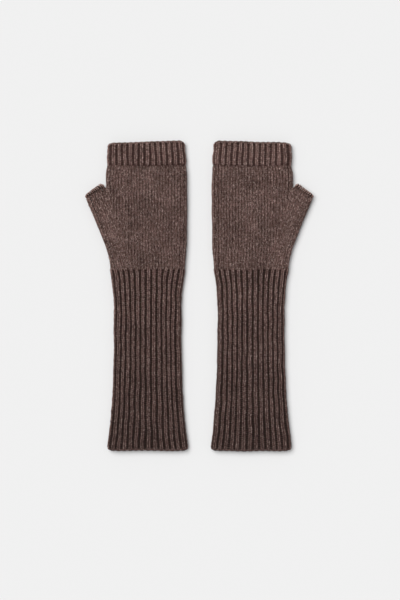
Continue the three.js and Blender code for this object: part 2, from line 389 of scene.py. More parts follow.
# %% Fold sizes
YARN = 0.67 * MM
LOOP_DEPTH = 0.60 * MM
SKIN = YARN + LOOP_DEPTH                    # half the thickness of the fabric
TABLE_GAP = 1.15 * MM                       # room for the ribs and the swell above the table
HALF_HEIGHT = GLOVE_MIDDLE_Z - SKIN - TABLE_GAP
ROUND = 5.6 * MM
FOLD_ARC = np.pi / 2 * np.sqrt((ROUND**2 + HALF_HEIGHT**2) / 2)
SPARE = FOLD_ARC - ROUND                    # a fold takes up more paper than its width
print("fabric half height, mm:", round(HALF_HEIGHT / MM, 2))
print("spare paper at a fold, mm:", round(SPARE / MM, 2))

# %% [markdown]
# A fold is a function. Given points on paper, it says how far each is inside the fold, and which way
# is in. The side folds follow measured edges, and the thumb's inner fold is a straight line. Where two
# folds meet at the crotch, each stops at the corner, and distances behind it run from the corner.

# %% Kinds of fold
def edge_fold(heights, places, inward):
    """A side fold x = places(y). Returns a function of x and y: distance inside it, and the way in."""
    slope = np.gradient(places, heights)

    def measure(x, y):
        tilt = np.interp(y, heights, slope)
        cosine = 1 / np.sqrt(1 + tilt**2)
        distance = inward * (x - np.interp(y, heights, places)) * cosine
        return distance, inward * cosine, -inward * tilt * cosine

    return measure


def from_corner(fold, corner, way):
    """A fold that begins at a corner and runs the given way: behind the corner, distances are radial."""

    def measure(x, y):
        dx = x - corner[0]
        dy = y - corner[1]
        radius = np.sqrt(dx**2 + dy**2) + 1e-9
        behind = dx * way[0] + dy * way[1] < 0
        distance, nx, ny = fold(x, y)
        nx = np.where(behind, dx / radius, nx)
        ny = np.where(behind, dy / radius, ny)
        return np.where(behind, radius, distance), nx, ny

    return measure


def line_fold(point, inward):
    """A straight fold through a point, with the fabric on the inward side."""

    def measure(x, y):
        distance = (x - point[0]) * inward[0] + (y - point[1]) * inward[1]
        return distance, np.full_like(x, inward[0]), np.full_like(x, inward[1])

    return measure


# %% [markdown]
# Folding takes a list of folds and uses the nearest one at each point, so one function serves the
# sleeve, the hand and the thumb.

# %% Folding up
def fold_up(x, y, sheet, out, folds):
    """Paper to glove. With q the paper distance from the nearest fold and a = q / FOLD_ARC quarter turns,
    at most one, a point lies ROUND (1 - cos a) inside the fold and HALF_HEIGHT sin a above or below the
    middle. It then moves out along the fabric's normal. Returns the points and the normals."""
    measured = np.stack([np.broadcast_arrays(*fold(x, y)) for fold in folds])
    nearest = measured[:, 0].argmin(0)
    distance, nx, ny = np.take_along_axis(measured, nearest[None, None], 0)[0]
    turn = np.clip((distance + SPARE) / FOLD_ARC, 0, 1) * np.pi / 2
    shift = np.where(turn < np.pi / 2, ROUND * (1 - np.cos(turn)) - distance, 0)
    flat = np.cos(turn) / ROUND
    lift = sheet * np.sin(turn) / HALF_HEIGHT
    size = np.sqrt(flat**2 + lift**2)
    normal = np.stack([-nx * flat / size, -ny * flat / size, lift / size], -1)
    height = GLOVE_MIDDLE_Z + sheet * HALF_HEIGHT * np.sin(turn)
    point = np.stack([x + nx * shift, y + ny * shift, height], -1)
    return point + normal * out[..., None], normal


# %% [markdown]
# Now the folds of this glove. The thumb's outer edge ends at its tip, so it is carried on along the
# thumb's direction. Both open ends are tucked in at their corners, and the band and the hem spread a
# little, as stretched edges do.

# %% The folds of this glove
def inset(places, inward):
    """An edge moved in by the fabric's own half thickness, allowing for its slope."""
    slope = np.gradient(places, HEIGHTS)
    return places + inward * SKIN * np.sqrt(1 + slope**2)


outer_tip_y = THUMB_OUTER[1]
beyond_tip = np.maximum(HEIGHTS - outer_tip_y, 0) * THUMB_AXIS[0] / THUMB_AXIS[1]
outer_edge = np.where(HEIGHTS < WRIST_Y, tube_left, np.where(HEIGHTS < outer_tip_y, thumb_left, np.nan))
OUTER_EDGE = inset(smooth(filled(outer_edge) + beyond_tip, EDGE_SMOOTH), 1)
TIP_ROUND = 5 * MM
TIP_FLARE = 0.4 * MM         # the thumb's tip stands out this much, over TIP_ROUND below it
OUTER_EDGE = OUTER_EDGE - TIP_FLARE * np.clip((HEIGHTS - outer_tip_y + TIP_ROUND) / TIP_ROUND, 0, 1) ** 2

CORNER_ROUND = 5 * MM        # the last part of both ends, tucked in at the corners
CORNER_TUCK = 1.3 * MM
BAND_SPREAD = 1.2 * MM       # how far a stretched edge spreads on each side, and over what length
BAND_SPREAD_LENGTH = 6 * MM
HEM_SPREAD = 1.0 * MM
HEM_SPREAD_LENGTH = 25 * MM
above_hem = HEIGHTS - HEM_Y
below_top = TOP_Y - HEIGHTS
corners = np.clip(1 - above_hem / CORNER_ROUND, 0, 1) + np.clip(1 - below_top / CORNER_ROUND, 0, 1)
band_share = np.clip((HEIGHTS - BAND_Y) / BAND_SPREAD_LENGTH, 0, 1)
hem_share = np.clip(1 - above_hem / HEM_SPREAD_LENGTH, 0, 1)
TUCK = CORNER_TUCK * corners**2 - BAND_SPREAD * band_share - HEM_SPREAD * hem_share**2
OUTER_EDGE = OUTER_EDGE + TUCK
RIGHT_EDGE = inset(RIGHT_EDGE, -1) - TUCK
HAND_LEFT = inset(smooth(filled(HAND_LEFT), HAND_SMOOTH), 1) + TUCK
CORNER = np.array([HAND_LEFT[~above_crotch][-1], CROTCH[1] - 2 * SKIN])

outer_fold = edge_fold(HEIGHTS, OUTER_EDGE, 1)
right_fold = edge_fold(HEIGHTS, RIGHT_EDGE, -1)
hand_fold = from_corner(edge_fold(HEIGHTS, HAND_LEFT, 1), CORNER, (0, 1))
inner_fold = from_corner(line_fold(CORNER, THUMB_ACROSS), CORNER, THUMB_AXIS)
SLEEVE_FOLDS = [outer_fold, right_fold]
HAND_FOLDS = [outer_fold, hand_fold, right_fold]
THUMB_FOLDS = [outer_fold, inner_fold]
print("corner at the crotch, mm:", (CORNER / MM).round(1))

# %% [markdown]
# ## One row of loops
# A needle pulls each loop of yarn through the one below. Seen flat, the yarn goes across while it sways
# once to each side and once up and down, so one formula draws every stitch: with t going once round per
# stitch, the yarn moves sideways by sin 2t, up and down by -cos t, and in and out of the fabric by
# -cos 2t. In a purl stitch the in and out are swapped. In ribbing, knit and purl stitches alternate:
# the knit ones spring forward and the purl ones sink, which makes the ribs.

# %% Loop formula
SAMPLES = 10                 # points along the yarn in a stitch
SWAY = 0.21                  # in columns
REACH = 0.80                 # in rows, so each loop passes through the one above
SQUEEZE = 0.05               # in columns; it brings the feet of a loop together
RIB_FRONT = 0.35 * MM        # how far a knit column stands forward
RIB_BACK = 1.9 * MM          # and how far a purl one sinks back
RIB_SHARE = 0.14
RIB_SPRING = 1.25
RIB_EDGE = 1.7
LOOSE_ACROSS = 0.05          # what varies from stitch to stitch, as standard deviations
LOOSE_UP = 0.08
LOOSE_OUT = 0.20 * MM
LOOSE_RADIUS = 0.10
COURSE = 2.25 * MM           # the height of a row


def rib_wave(u):
    """Ribbing at wale u: the shift across, the face (1 knit, -1 purl) and how far out the fabric lies."""
    face = np.clip(RIB_EDGE * np.sin(np.pi * u), -1, 1)
    across = RIB_SHARE * (1 - np.cos(np.pi * u))
    return across, face, np.where(face > 0, RIB_FRONT, RIB_BACK) * face


def loops(rows, wales, rng, ribbed):
    """Rows of loops as arrays (rows, samples): wale and row coordinates, the way out, and the radius."""
    u = np.arange(wales * SAMPLES + 1)[None] / SAMPLES
    t = 2 * np.pi * u
    weight = (1 - np.cos(t)) / 2
    stitch = np.minimum(u.astype(int), wales - 1)

    def loose(size):
        """One random number a stitch, brought in and out over it so that the yarn stays whole."""
        return rng.normal(0, size, (rows, wales))[np.arange(rows)[:, None], stitch] * weight

    wale = u + SWAY * np.sin(2 * t) + SQUEEZE * np.sin(t) + loose(LOOSE_ACROSS)
    row = np.arange(rows)[:, None] + 0.5 - REACH * np.cos(t) + loose(LOOSE_UP)
    out = -LOOP_DEPTH * np.cos(2 * t) + loose(LOOSE_OUT)
    radius = YARN * (1 + loose(LOOSE_RADIUS))
    if ribbed:
        across, face, level = rib_wave(u)
        wale = wale + across
        out = RIB_SPRING * out * face + level
    return wale, row, out, np.broadcast_to(radius, wale.shape)


# %% [markdown]
# ## No two gloves alike
# Hand-flattened knitting is never ruler-straight. The columns lean, the rows rise and fall, the fabric
# swells in places and the sides waver. Each of these is a sum of a few slow waves, drawn from the
# glove's own random numbers, so the right glove is not an exact mirror image of the left.

# %% Drift of the fabric
WAVES = 4
SIDE_WAVER = (0.6 * MM, 26 * MM)      # the size and the wavelength of each drift
COLUMN_LEAN = (0.30 * MM, 22 * MM)
ROW_DRIFT = (0.8 * MM, 50 * MM)
SWELL = (0.20 * MM, 38 * MM)
BAND_LOW = BAND_Y - COURSE
CREASE_DEPTH = 0.6 * MM
CREASE_WIDTH = 1.2 * MM


def wander(rng, size, wavelength):
    """A slow drift over the fabric: the sum of a few waves with random directions, lengths and phases."""
    angle, phase = rng.uniform(0, 2 * np.pi, (2, WAVES))
    number = 2 * np.pi / (wavelength * rng.uniform(0.7, 1.5, WAVES))

    def drift(x, y):
        waves = number * (x[..., None] * np.cos(angle) + y[..., None] * np.sin(angle)) + phase
        return np.sin(waves).sum(-1) * size / WAVES

    return drift


class Hands:
    """What makes one glove differ from another: its random numbers and the drift of its fabric."""

    def __init__(self, seed):
        self.rng = np.random.default_rng(seed)
        self.waver = wander(self.rng, *SIDE_WAVER)
        self.lean = wander(self.rng, *COLUMN_LEAN)
        self.rise = wander(self.rng, *ROW_DRIFT)
        self.swell = wander(self.rng, *SWELL)

    def place(self, x, y, sheet, out):
        """Paper points moved by the drift, with the fabric swelling and sinking a little, and drawn in
        along the row where the band begins."""
        moved_x = x + self.lean(x, y + sheet)
        moved_y = y + self.rise(x, y)
        crease = CREASE_DEPTH * np.exp(-(((y - BAND_LOW) / CREASE_WIDTH) ** 2))
        return moved_x, moved_y, out + self.swell(x, y + sheet) - crease

    def lay_down(self, points):
        """The folded glove as it lies: slid sideways here and there, so that its sides waver."""
        return points + self.waver(points[:, 0], points[:, 1])[:, None] * [1, 0, 0]


# %% [markdown]
# ## Yarn as a mesh
# A strand is a ring of four points carried along the loop and turned to follow it. Smooth shading
# rounds it, and four sides keep thousands of stitches light. All the rows of a piece are worked out
# at once. A row either closes on itself, as round a tube, or ends at a join, where each end is capped.

# %% Strands
SIDES = 4
ROW_STAGGER = 0.37           # metres of yarn from one row to the next in the wool's coordinates
# depth: how far in or out of the fabric a strand lies, which sets its painted shade
Path = namedtuple("Path", "centres outward radius depth")


def unit(v):
    """Vectors brought to length one."""
    return v / np.maximum(np.linalg.norm(v, axis=-1, keepdims=True), 1e-12)


def strands(path, closed, first=None, last=None, side_count=SIDES):
    """Carries a ring along each row of a path. Returns points, their depth, faces and two maps of the yarn.
    The ring lies across the strand, starts at the outward side, and keeps rings first to last of a row."""
    centres, outward, radius, depth = path
    rows, count = centres.shape[:2]
    if closed:
        heading = np.roll(centres, -1, 1) - np.roll(centres, 1, 1)
        spans = count
    else:
        heading = np.gradient(centres, axis=1)
        spans = count - 1
    heading = unit(heading)
    aside = unit(np.cross(heading, outward))
    up = np.cross(aside, heading)
    turn = 2 * np.pi * np.arange(side_count) / side_count
    ring = np.cos(turn)[:, None] * up[:, :, None] + np.sin(turn)[:, None] * aside[:, :, None]
    points = centres[:, :, None] + radius[:, :, None, None] * ring
    # the depth of each point sets its painted shade, so the yarn's underside is painted darker than its top
    depths = (depth[:, :, None] + radius[:, :, None] * np.cos(turn)) / SKIN

    step = np.linalg.norm(np.diff(centres, axis=1, append=centres[:, :1]), axis=-1)
    length = np.concatenate([np.zeros((rows, 1)), np.cumsum(step, 1)], 1)
    length = length + np.arange(rows)[:, None] * ROW_STAGGER
    row, i, s = np.meshgrid(np.arange(rows), np.arange(spans), np.arange(side_count), indexing="ij")
    if first is None:
        first = np.zeros(rows, int)
        last = np.full(rows, count - 1 + closed)
    kept = (i >= first[:, None, None]) & (i < last[:, None, None])
    row, i, s = row[kept], i[kept], s[kept]

    def index(row, i, s):
        """The vertex at side s of ring i of a row."""
        return (row * count + i % count) * side_count + s % side_count

    corners = [(i, s), (i, s + 1), (i + 1, s + 1), (i + 1, s)]
    faces = np.stack([index(row, a, b) for a, b in corners], 1)
    yarn = np.stack([np.stack([length[row, a], b / side_count], -1) for a, b in corners], 1)
    # the second map gives each row a strip of its own, with a margin on both sides
    strip = [(a / count, (row + 0.1 + 0.8 * b / side_count) / rows) for a, b in corners]
    sheet = np.stack([np.stack(place, -1) for place in strip], 1)
    if not closed:
        each = np.arange(rows)
        fans = np.array([[0, k + 1, k + 2, k + 3] for k in range(0, side_count - 2, 2)])
        front = index(each[:, None, None], first[:, None, None], fans[:, ::-1])
        back = index(each[:, None, None], last[:, None, None], fans)
        row = np.repeat(np.tile(each, 2), len(fans))
        ends = np.repeat(np.concatenate([first, last]), len(fans))
        cap_yarn = np.stack([length[row, ends], np.zeros(len(row))], -1)
        cap_sheet = np.stack([ends / count, (row + 0.5) / rows], -1)
        faces = np.concatenate([faces, front.reshape(-1, 4), back.reshape(-1, 4)])
        yarn = np.concatenate([yarn, np.repeat(cap_yarn[:, None], 4, 1)])
        sheet = np.concatenate([sheet, np.repeat(cap_sheet[:, None], 4, 1)])
    return points.reshape(-1, 3), depths.ravel(), faces, yarn, sheet


# %% [markdown]
# Wool is hairy, so short loose fibres stand off the yarn and soften its outline. They are thin strands
# too, and they start at random points of the rows.

# %% Loose fibres
FUZZ_SHARE = 0.035           # hairs for each point along the yarn
FUZZ_RADIUS = 0.05 * MM
FUZZ_LENGTH = (0.5 * MM, 1.8 * MM)
FUZZ_SLANT = 0.7             # standard deviations, as shares of the outward way and of the length
FUZZ_BEND = 0.35
FUZZ_TAPER = 0.8
FUZZ_POINTS = 4
OFF_WAY = [0.01, 0.02, 0.03]


def fuzz(path, rng, kept=None):
    """Loose fibres: short hairs from random points of the yarn. Each sets off outward at a random slant
    and bends aside by a random part of its length, and none goes below the table."""
    if kept is None:
        kept = np.ones(path.depth.shape, bool)
    number = int(kept.sum() * FUZZ_SHARE)
    chosen = rng.choice(np.flatnonzero(kept), number)
    root, outward = (part.reshape(-1, 3)[chosen] for part in (path.centres, path.outward))
    way = unit(outward + rng.normal(0, FUZZ_SLANT, (number, 3)))[:, None]
    bend = rng.normal(0, FUZZ_BEND, (number, 3))[:, None]
    buried = path.radius.ravel()[chosen, None] * 0.7
    length = (buried + rng.uniform(*FUZZ_LENGTH, (number, 1)))[:, None]
    run = np.linspace(0, 1, FUZZ_POINTS)[:, None]
    centres = root[:, None] + length * (way * run + bend * run**2)
    centres[..., 2] = np.maximum(centres[..., 2], FUZZ_RADIUS)
    radius = FUZZ_RADIUS * (1 - FUZZ_TAPER * run[:, 0]) + np.zeros((number, 1))
    # a hair may set off exactly outward, so its rings are turned by a direction a little off that
    off_way = np.repeat(outward[:, None], FUZZ_POINTS, 1) + OFF_WAY
    # hairs are given the depth of the fabric's face, so they get no painted shade
    return strands(Path(centres, off_way, radius, np.full(radius.shape, SKIN)), False)


# %% [markdown]
# The strands of a piece are joined into one mesh. Filling a mesh's arrays at once with foreach_set is
# much quicker than adding its vertices one by one. The mesh carries two maps: the yarn's own
# coordinates, for the wool, and one in which no two faces overlap, for baking.

# %% Strands to mesh
def piece(name, parts, material, hands, mirrored):
    """Joins strands into one mesh object. A mirrored piece has x turned over and its faces reversed."""
    points, depths, faces, yarn, sheet = zip(*parts)
    starts = np.cumsum([0] + [len(p) for p in points[:-1]])
    points = np.concatenate(points)
    depths = np.concatenate(depths)
    faces = np.concatenate([f + start for f, start in zip(faces, starts)])
    sheet = [(s + np.array([0, part])) / np.array([1, len(parts)]) for part, s in enumerate(sheet)]
    maps = [np.concatenate(yarn), np.concatenate(sheet)]
    used, faces = np.unique(faces, return_inverse=True)
    faces = faces.reshape(-1, 4)
    points = hands.lay_down(points[used])
    if mirrored:
        points = points * [-1, 1, 1]
        faces = faces[:, ::-1]
        maps = [m[:, ::-1] for m in maps]
    mesh = bpy.data.meshes.new(name)
    mesh.vertices.add(len(points))
    mesh.vertices.foreach_set("co", points.astype(np.float32).ravel())
    mesh.loops.add(faces.size)
    mesh.loops.foreach_set("vertex_index", faces.astype(np.int32).ravel())
    mesh.polygons.add(len(faces))
    mesh.polygons.foreach_set("loop_start", np.arange(0, faces.size, 4, dtype=np.int32))
    mesh.polygons.foreach_set("use_smooth", np.ones(len(faces), bool))
    for label, values in zip(("yarn", "OFBake"), maps):
        layer = mesh.uv_layers.new(name=label)
        layer.uv.foreach_set("vector", values.astype(np.float32).ravel())
    # the depth that the wools turn into painted shade
    depth = mesh.attributes.new("depth", "FLOAT", "POINT")
    depth.data.foreach_set("value", depths[used].astype(np.float32))
    mesh.update(calc_edges=True)
    mesh.validate()
    mesh.materials.append(material)
    knitting = bpy.data.objects.new(name, mesh)
    scene.collection.objects.link(knitting)
    print(name, "triangles:", 2 * len(faces))
    return knitting


# %% [markdown]
# ## Where the stitches go on paper
# The columns of stitches, or wales, run up the sleeve, through the hand and into the band without a
# break. Round the whole tube there are 56 of them, 28 on each sheet. Between the wrist and the crotch,
# nine columns a side turn aside into the thumb gusset, and the hand's own columns start one after
# another along the join instead.

# %% Paper layout
WALES = 56
SIDE_WALES = WALES // 2
THUMB_WALES = 18
THUMB_SIDE_WALES = THUMB_WALES // 2
FOLD_WALE = 0.25             # how far a fold lies into a knit column
PALM_SWELL = 34 * MM         # the hand widens over this height above the wrist
FOLD_CROWD = 0.10            # how much closer the sleeve's columns lie near its folds
CORNER_DROP = 2.2 * MM       # both edges round off at their corners
CORNER_POWER = 12
CORNER_LIFT = 0.8 * MM       # the band's edge rises towards the little finger
LIFT_FROM = 0.72
LIFT_OVER = 0.2
BAND_SKEW = 0.7 * MM         # the band and the rows below it slope a little
BAND_SKEW_LENGTH = 20 * MM
SCALLOP = 0.3 * MM           # a rib's end stands out beyond its neighbours

palm_share = np.clip((HEIGHTS - WRIST_Y) / PALM_SWELL, 0, 1)
palm_share = palm_share**2 * (3 - 2 * palm_share)
wrist_left = np.interp(WRIST_Y, HEIGHTS, OUTER_EDGE)
palm_column = wrist_left + (HAND_LEFT - wrist_left) * palm_share
COLUMN_LEFT = np.where(HEIGHTS < WRIST_Y, OUTER_EDGE, palm_column) - SPARE
COLUMN_RIGHT = RIGHT_EDGE + SPARE
RIB_CROWD = FOLD_CROWD * (1 - palm_share)
print("width of a column at the hem, mm:", round((COLUMN_RIGHT - COLUMN_LEFT)[0] / SIDE_WALES / MM, 2))

# %% [markdown]
# A wale number round the tube becomes a share across and a sheet, and a share becomes a place between
# the column edges. Near the open ends the rows also bend to the shape of the edge.

# %% A place on paper
def sheet_of(wale, side_wales):
    """Wales round a tube as a share across (0 left fold, 1 right fold) and the sheet (1 top, -1 under)."""
    round_tube = np.mod(wale, 2 * side_wales)
    share = 1 - np.abs(round_tube - side_wales) / side_wales
    return share, np.where(round_tube < side_wales, 1.0, -1.0)


def tube_paper(wale, y):
    """Paper x, y on a tube. The wales spread between the column edges at that height, with part of a
    knit one on each fold. They crowd towards the sleeve's folds. Near both open ends the rows follow the
    end's own line, which is rounded at its corners and scalloped by the ribs."""
    share, sheet = sheet_of(wale - FOLD_WALE, SIDE_WALES)
    left = np.interp(y, HEIGHTS, COLUMN_LEFT)
    right = np.interp(y, HEIGHTS, COLUMN_RIGHT)
    crowd = np.interp(y, HEIGHTS, RIB_CROWD)
    across = share - crowd * np.sin(2 * np.pi * share) / (2 * np.pi)
    in_band = np.clip((y - BAND_Y) / (TOP_Y - BAND_Y), 0, 1)
    near_band = np.clip((y - BAND_Y) / BAND_SKEW_LENGTH + 1, 0, 1)
    in_hem = np.clip(1 - (y - HEM_Y) / (TOP_Y - BAND_Y), 0, 1)
    corner = CORNER_DROP * np.abs(2 * share - 1) ** CORNER_POWER
    lift = CORNER_LIFT * np.clip((share - LIFT_FROM) / LIFT_OVER, 0, 1) - corner
    skew = BAND_SKEW * (2 * share - 1)
    scallop = SCALLOP * np.sin(np.pi * wale)
    up = in_band * (lift + scallop) + near_band * skew + in_hem * (corner - scallop)
    return left + (right - left) * across, y + up, sheet


# %% [markdown]
# The hand and the gusset meet on a straight line on paper, from the gusset's foot to the crotch. Rows
# that reach it stop there.

# %% The join line
JOIN_LENGTH = np.linalg.norm(CORNER - GUSSET_FOOT)
JOIN_WAY = (CORNER - GUSSET_FOOT) / JOIN_LENGTH
JOIN_ASIDE = np.array([-JOIN_WAY[1], JOIN_WAY[0]])
print("join length, mm:", round(JOIN_LENGTH / MM, 1))


def beyond_join(x, y):
    """How far a paper point is on the gusset's side of the join line."""
    return (x - GUSSET_FOOT[0]) * JOIN_ASIDE[0] + (y - GUSSET_FOOT[1]) * JOIN_ASIDE[1]


def run_of(kept):
    """The first and the last kept sample of each row."""
    return kept.argmax(1), kept.shape[1] - 1 - kept[:, ::-1].argmax(1)


# %% [markdown]
# To lay rows round a tube, the loop formula gives wales and rows, the paper gives places, the glove's
# drift moves them, and folding lifts them up.

# %% Rows round a tube
def tube_rows(low, high, hands, ribbed, folds):
    """Rows of loops round a tube between two heights, folded up."""
    rows = max(1, round((high - low) / COURSE))
    pitch = (high - low) / rows
    wale, row, out, radius = loops(rows, WALES, hands.rng, ribbed)
    y = low + row * pitch
    x, y, sheet = tube_paper(wale, y)
    x, y, out = hands.place(x, y, sheet, out)
    points, normals = fold_up(x, y, sheet, out, folds)
    return Path(points, normals, radius, out), beyond_join(x, y)


# %% [markdown]
# ## Matted fibres
# Held up to the light, ribbing shows no holes, because loose fibres mat together between its loops. A
# thin skin stands in for them. It follows the ribs in and out at the middle of the fabric, where the
# yarn hides most of it.

# %% Matting behind the ribs
MAT_SAMPLES = 3
MAT_THICKNESS = 0.3 * MM


def matting(low, high, hands, folds):
    """A closed skin round a ribbed tube: an outer sheet of points going up and an inner one coming down."""
    rows = round((high - low) / COURSE) + 1
    count = WALES * MAT_SAMPLES
    wale, y = np.meshgrid(np.arange(count) / MAT_SAMPLES, np.linspace(low, high, rows))
    across, _, level = rib_wave(wale)
    x, y, sheet = tube_paper(wale + across, y)
    x, y, out = hands.place(x, y, sheet, level)
    outer, _ = fold_up(x, y, sheet, out + MAT_THICKNESS / 2, folds)
    inner, _ = fold_up(x, y, sheet, out - MAT_THICKNESS / 2, folds)
    points = np.concatenate([outer, inner[::-1]])
    # the skin's depth gives it the painted shade of the fabric's middle, darkest behind the purl columns
    depths = np.concatenate([out, out[::-1]]) / SKIN
    i, j = np.meshgrid(np.arange(2 * rows), np.arange(count), indexing="ij")
    corners = [(i, j), (i, j + 1), (i + 1, j + 1), (i + 1, j)]
    faces = np.stack([(a % (2 * rows) * count + b % count).ravel() for a, b in corners], 1)
    strand = [(b * MM + a * ROW_STAGGER, a * 0.5) for a, b in corners]
    yarn = np.stack([np.stack(place, -1).reshape(-1, 2) for place in strand], 1)
    strip = [(b / count, a / (2 * rows)) for a, b in corners]
    sheet = np.stack([np.stack(place, -1).reshape(-1, 2) for place in strip], 1)
    return points.reshape(-1, 3), depths.ravel(), faces, yarn, sheet


# %% [markdown]
# The sleeve, the band and the hand above the crotch are whole rounds: rows that close on themselves,
# with their loose fibres and, in ribbing, the matting behind.

# %% Whole rounds
def closed_tube(low, high, hands, ribbed, folds):
    """Whole rounds: the last sample of a row repeats the first, so it is left off."""
    path, _ = tube_rows(low, high, hands, ribbed, folds)
    path = Path(*(part[:, :-1] for part in path))
    parts = [strands(path, True), fuzz(path, hands.rng)]
    return parts + [matting(low, high, hands, folds)] if ribbed else parts


# %% [markdown]
# ## The hand below the crotch
# Here the rows do not go all the way round. Each starts at the join with the gusset on the top sheet,
# goes round the little-finger fold, and ends at the join on the underside. The easy way is to lay the
# whole round and then keep only the part on the hand's side of the join line.

# %% Hand rows that stop at the join
HAND_CLEARANCE = 0.3 * MM
GUSSET_CLEARANCE = 0.2 * MM


def open_hand(low, high, hands):
    """Rows from join to join: the rings that are clear of the join line, which are in one run."""
    path, beyond = tube_rows(low, high, hands, False, HAND_FOLDS)
    kept = beyond < -HAND_CLEARANCE
    return [strands(path, False, *run_of(kept)), fuzz(path, hands.rng, kept)]


# %% [markdown]
# ## The gusset and the thumb
# The gusset's columns fan out from the wrist and follow the thumb. Each of its rows runs between a
# point on the join line and a point on the thumb's outer edge, so the paper is a ruled strip between
# those two lines. Above the crotch the strip closes into the thumb's own little tube.

# %% Thumb rows
def by_length(points, shares):
    """Points at equal shares of a polyline's length."""
    steps = np.linalg.norm(np.diff(points, axis=0), axis=1)
    along = np.concatenate([[0], np.cumsum(steps)])
    return np.stack([np.interp(shares * along[-1], along, points[:, k]) for k in (0, 1)], -1)


inner_end = CORNER + THUMB_AXIS * np.dot(THUMB_INNER - CORNER, THUMB_AXIS)
outer_end = inner_end + THUMB_ACROSS * (THUMB_WIDTH - 2 * SKIN)
beside_gusset = (HEIGHTS > WRIST_Y) & (HEIGHTS < min(outer_tip_y + 1.5 * MM, outer_end[1]))
gusset_edge = np.stack([OUTER_EDGE[beside_gusset], HEIGHTS[beside_gusset]], -1)
outer_line = np.concatenate([[[wrist_left, WRIST_Y]], gusset_edge, [outer_end]])
inner_line = np.array([GUSSET_FOOT, CORNER, inner_end])
INNER_LENGTH = JOIN_LENGTH + np.linalg.norm(inner_end - CORNER)
CROTCH_SHARE = JOIN_LENGTH / INNER_LENGTH
SPARE_RATE = 60              # the crotch's spare paper comes in over a sixtieth of the length
THUMB_EDGE = 4.4 * MM        # the height of the bars round the rim
TIP_DROP = 2.6 * MM          # the rim rounds off at its corners
TIP_CORNER = 6
TIP_LENGTH = 12 * MM
SINK = 1.1 * MM              # the knitting sinks under the bars
SINK_LENGTH = 1.6 * MM
print("thumb length beyond the crotch, mm:", round((INNER_LENGTH - JOIN_LENGTH) / MM, 1))


def thumb_paper(wale, share_up):
    """Paper x and y on the gusset or thumb: a ruled strip between the inner and the outer line. Beyond
    both ends it goes straight on, and at the thumb's tip its corners drop back."""
    flat = share_up.ravel()
    inner = by_length(inner_line, np.clip(flat, 0, 1)).reshape(*share_up.shape, 2)
    outer = by_length(outer_line, np.clip(flat, 0, 1)).reshape(*share_up.shape, 2)
    over = (np.clip(flat, 1, None) - 1).reshape(share_up.shape) * INNER_LENGTH
    under = np.clip(flat, None, 0).reshape(share_up.shape) * INNER_LENGTH
    spare = np.clip((share_up - CROTCH_SHARE) * SPARE_RATE + 0.5, 0, 1)[..., None] * SPARE
    inner = inner - THUMB_ACROSS * spare + over[..., None] * THUMB_AXIS
    outer = outer + THUMB_ACROSS * SPARE + over[..., None] * THUMB_AXIS
    inner[..., 1] += under
    outer[..., 1] += under
    share, sheet = sheet_of(wale, THUMB_SIDE_WALES)
    near_tip = np.clip(1 + (share_up - 1) * INNER_LENGTH / TIP_LENGTH, 0, 1)
    drop = TIP_DROP * near_tip * np.abs(2 * share - 1) ** TIP_CORNER
    point = inner + (outer - inner) * share[..., None] - drop[..., None] * THUMB_AXIS
    return point[..., 0], point[..., 1], sheet


def thumb_rows(low, high, hands, closed):
    """Rows of loops between two shares of the thumb's length, from join to join or right round."""
    rows = max(1, round((high - low) * INNER_LENGTH / COURSE))
    wale, row, out, radius = loops(rows, THUMB_WALES, hands.rng, False)
    share_up = low + row * (high - low) / rows
    x, y, sheet = thumb_paper(wale, share_up)
    x, y, out = hands.place(x, y, sheet, out)
    above_bars = (share_up - 1) * INNER_LENGTH + THUMB_EDGE
    out = out - SINK * np.clip(1 + above_bars / SINK_LENGTH, 0, 1)
    points, normals = fold_up(x, y, sheet, out, THUMB_FOLDS)
    path = Path(points, normals, radius, out)
    if closed:
        path = Path(*(part[:, :-1] for part in path))
        return [strands(path, True), fuzz(path, hands.rng)]
    kept = beyond_join(x, y) > GUSSET_CLEARANCE
    return [strands(path, False, *run_of(kept)), fuzz(path, hands.rng, kept)]


# %% [markdown]
# ## Edges, joins and seams
# Casting off leaves a chain along an open end. It looks like two strands wound round each other, with
# one turn for each stitch, so that is how the chains are made, along the tube's rim or along the
# join line. The thumb is finished differently: each stitch is carried over the rim, which leaves a ring
# of short bars.

# %% Chains
CHAIN_SAMPLES = 7            # points along a strand in a stitch
CHAIN_RADIUS = YARN * 0.8
CHAIN_WIDTH = 0.85 * MM      # from the middle of the chain to the middle of a strand
JOIN_RADIUS = YARN * 0.7
JOIN_WIDTH = 0.5 * MM
JOIN_OUT = 0.05 * MM


def chain(x, y, sheet, out, folds, turns, closed, thick=CHAIN_RADIUS, wide=CHAIN_WIDTH):
    """Two strands wound round a paper line: each is off the line by wide, half a turn apart."""
    centres, normals = fold_up(x, y, sheet, out, folds)
    if closed:
        heading = np.roll(centres, -1, 0) - np.roll(centres, 1, 0)
        steps = len(x)
    else:
        heading = np.gradient(centres, axis=0)
        steps = len(x) - 1
    aside = unit(np.cross(unit(heading), normals))
    angle = 2 * np.pi * turns * np.arange(len(x)) / steps
    both = np.stack([angle, angle + np.pi])[..., None]
    points = centres + wide * (np.cos(both) * normals + np.sin(both) * aside)
    outward = np.broadcast_to(normals, points.shape)
    # painted shade: the strand nearer the face is painted lighter and the other one darker
    depth = wide * np.cos(both[..., 0])
    return strands(Path(points, outward, np.full(depth.shape, thick), depth), closed)


def rim_chain(y, hands, folds):
    """A chain round the open end of the tube, one turn for each stitch."""
    wale = np.arange(WALES * CHAIN_SAMPLES) / CHAIN_SAMPLES
    x, y, sheet = tube_paper(wale, np.full_like(wale, y))
    x, y, out = hands.place(x, y, sheet, np.zeros_like(x))
    return chain(x, y, sheet, out, folds, WALES, True)


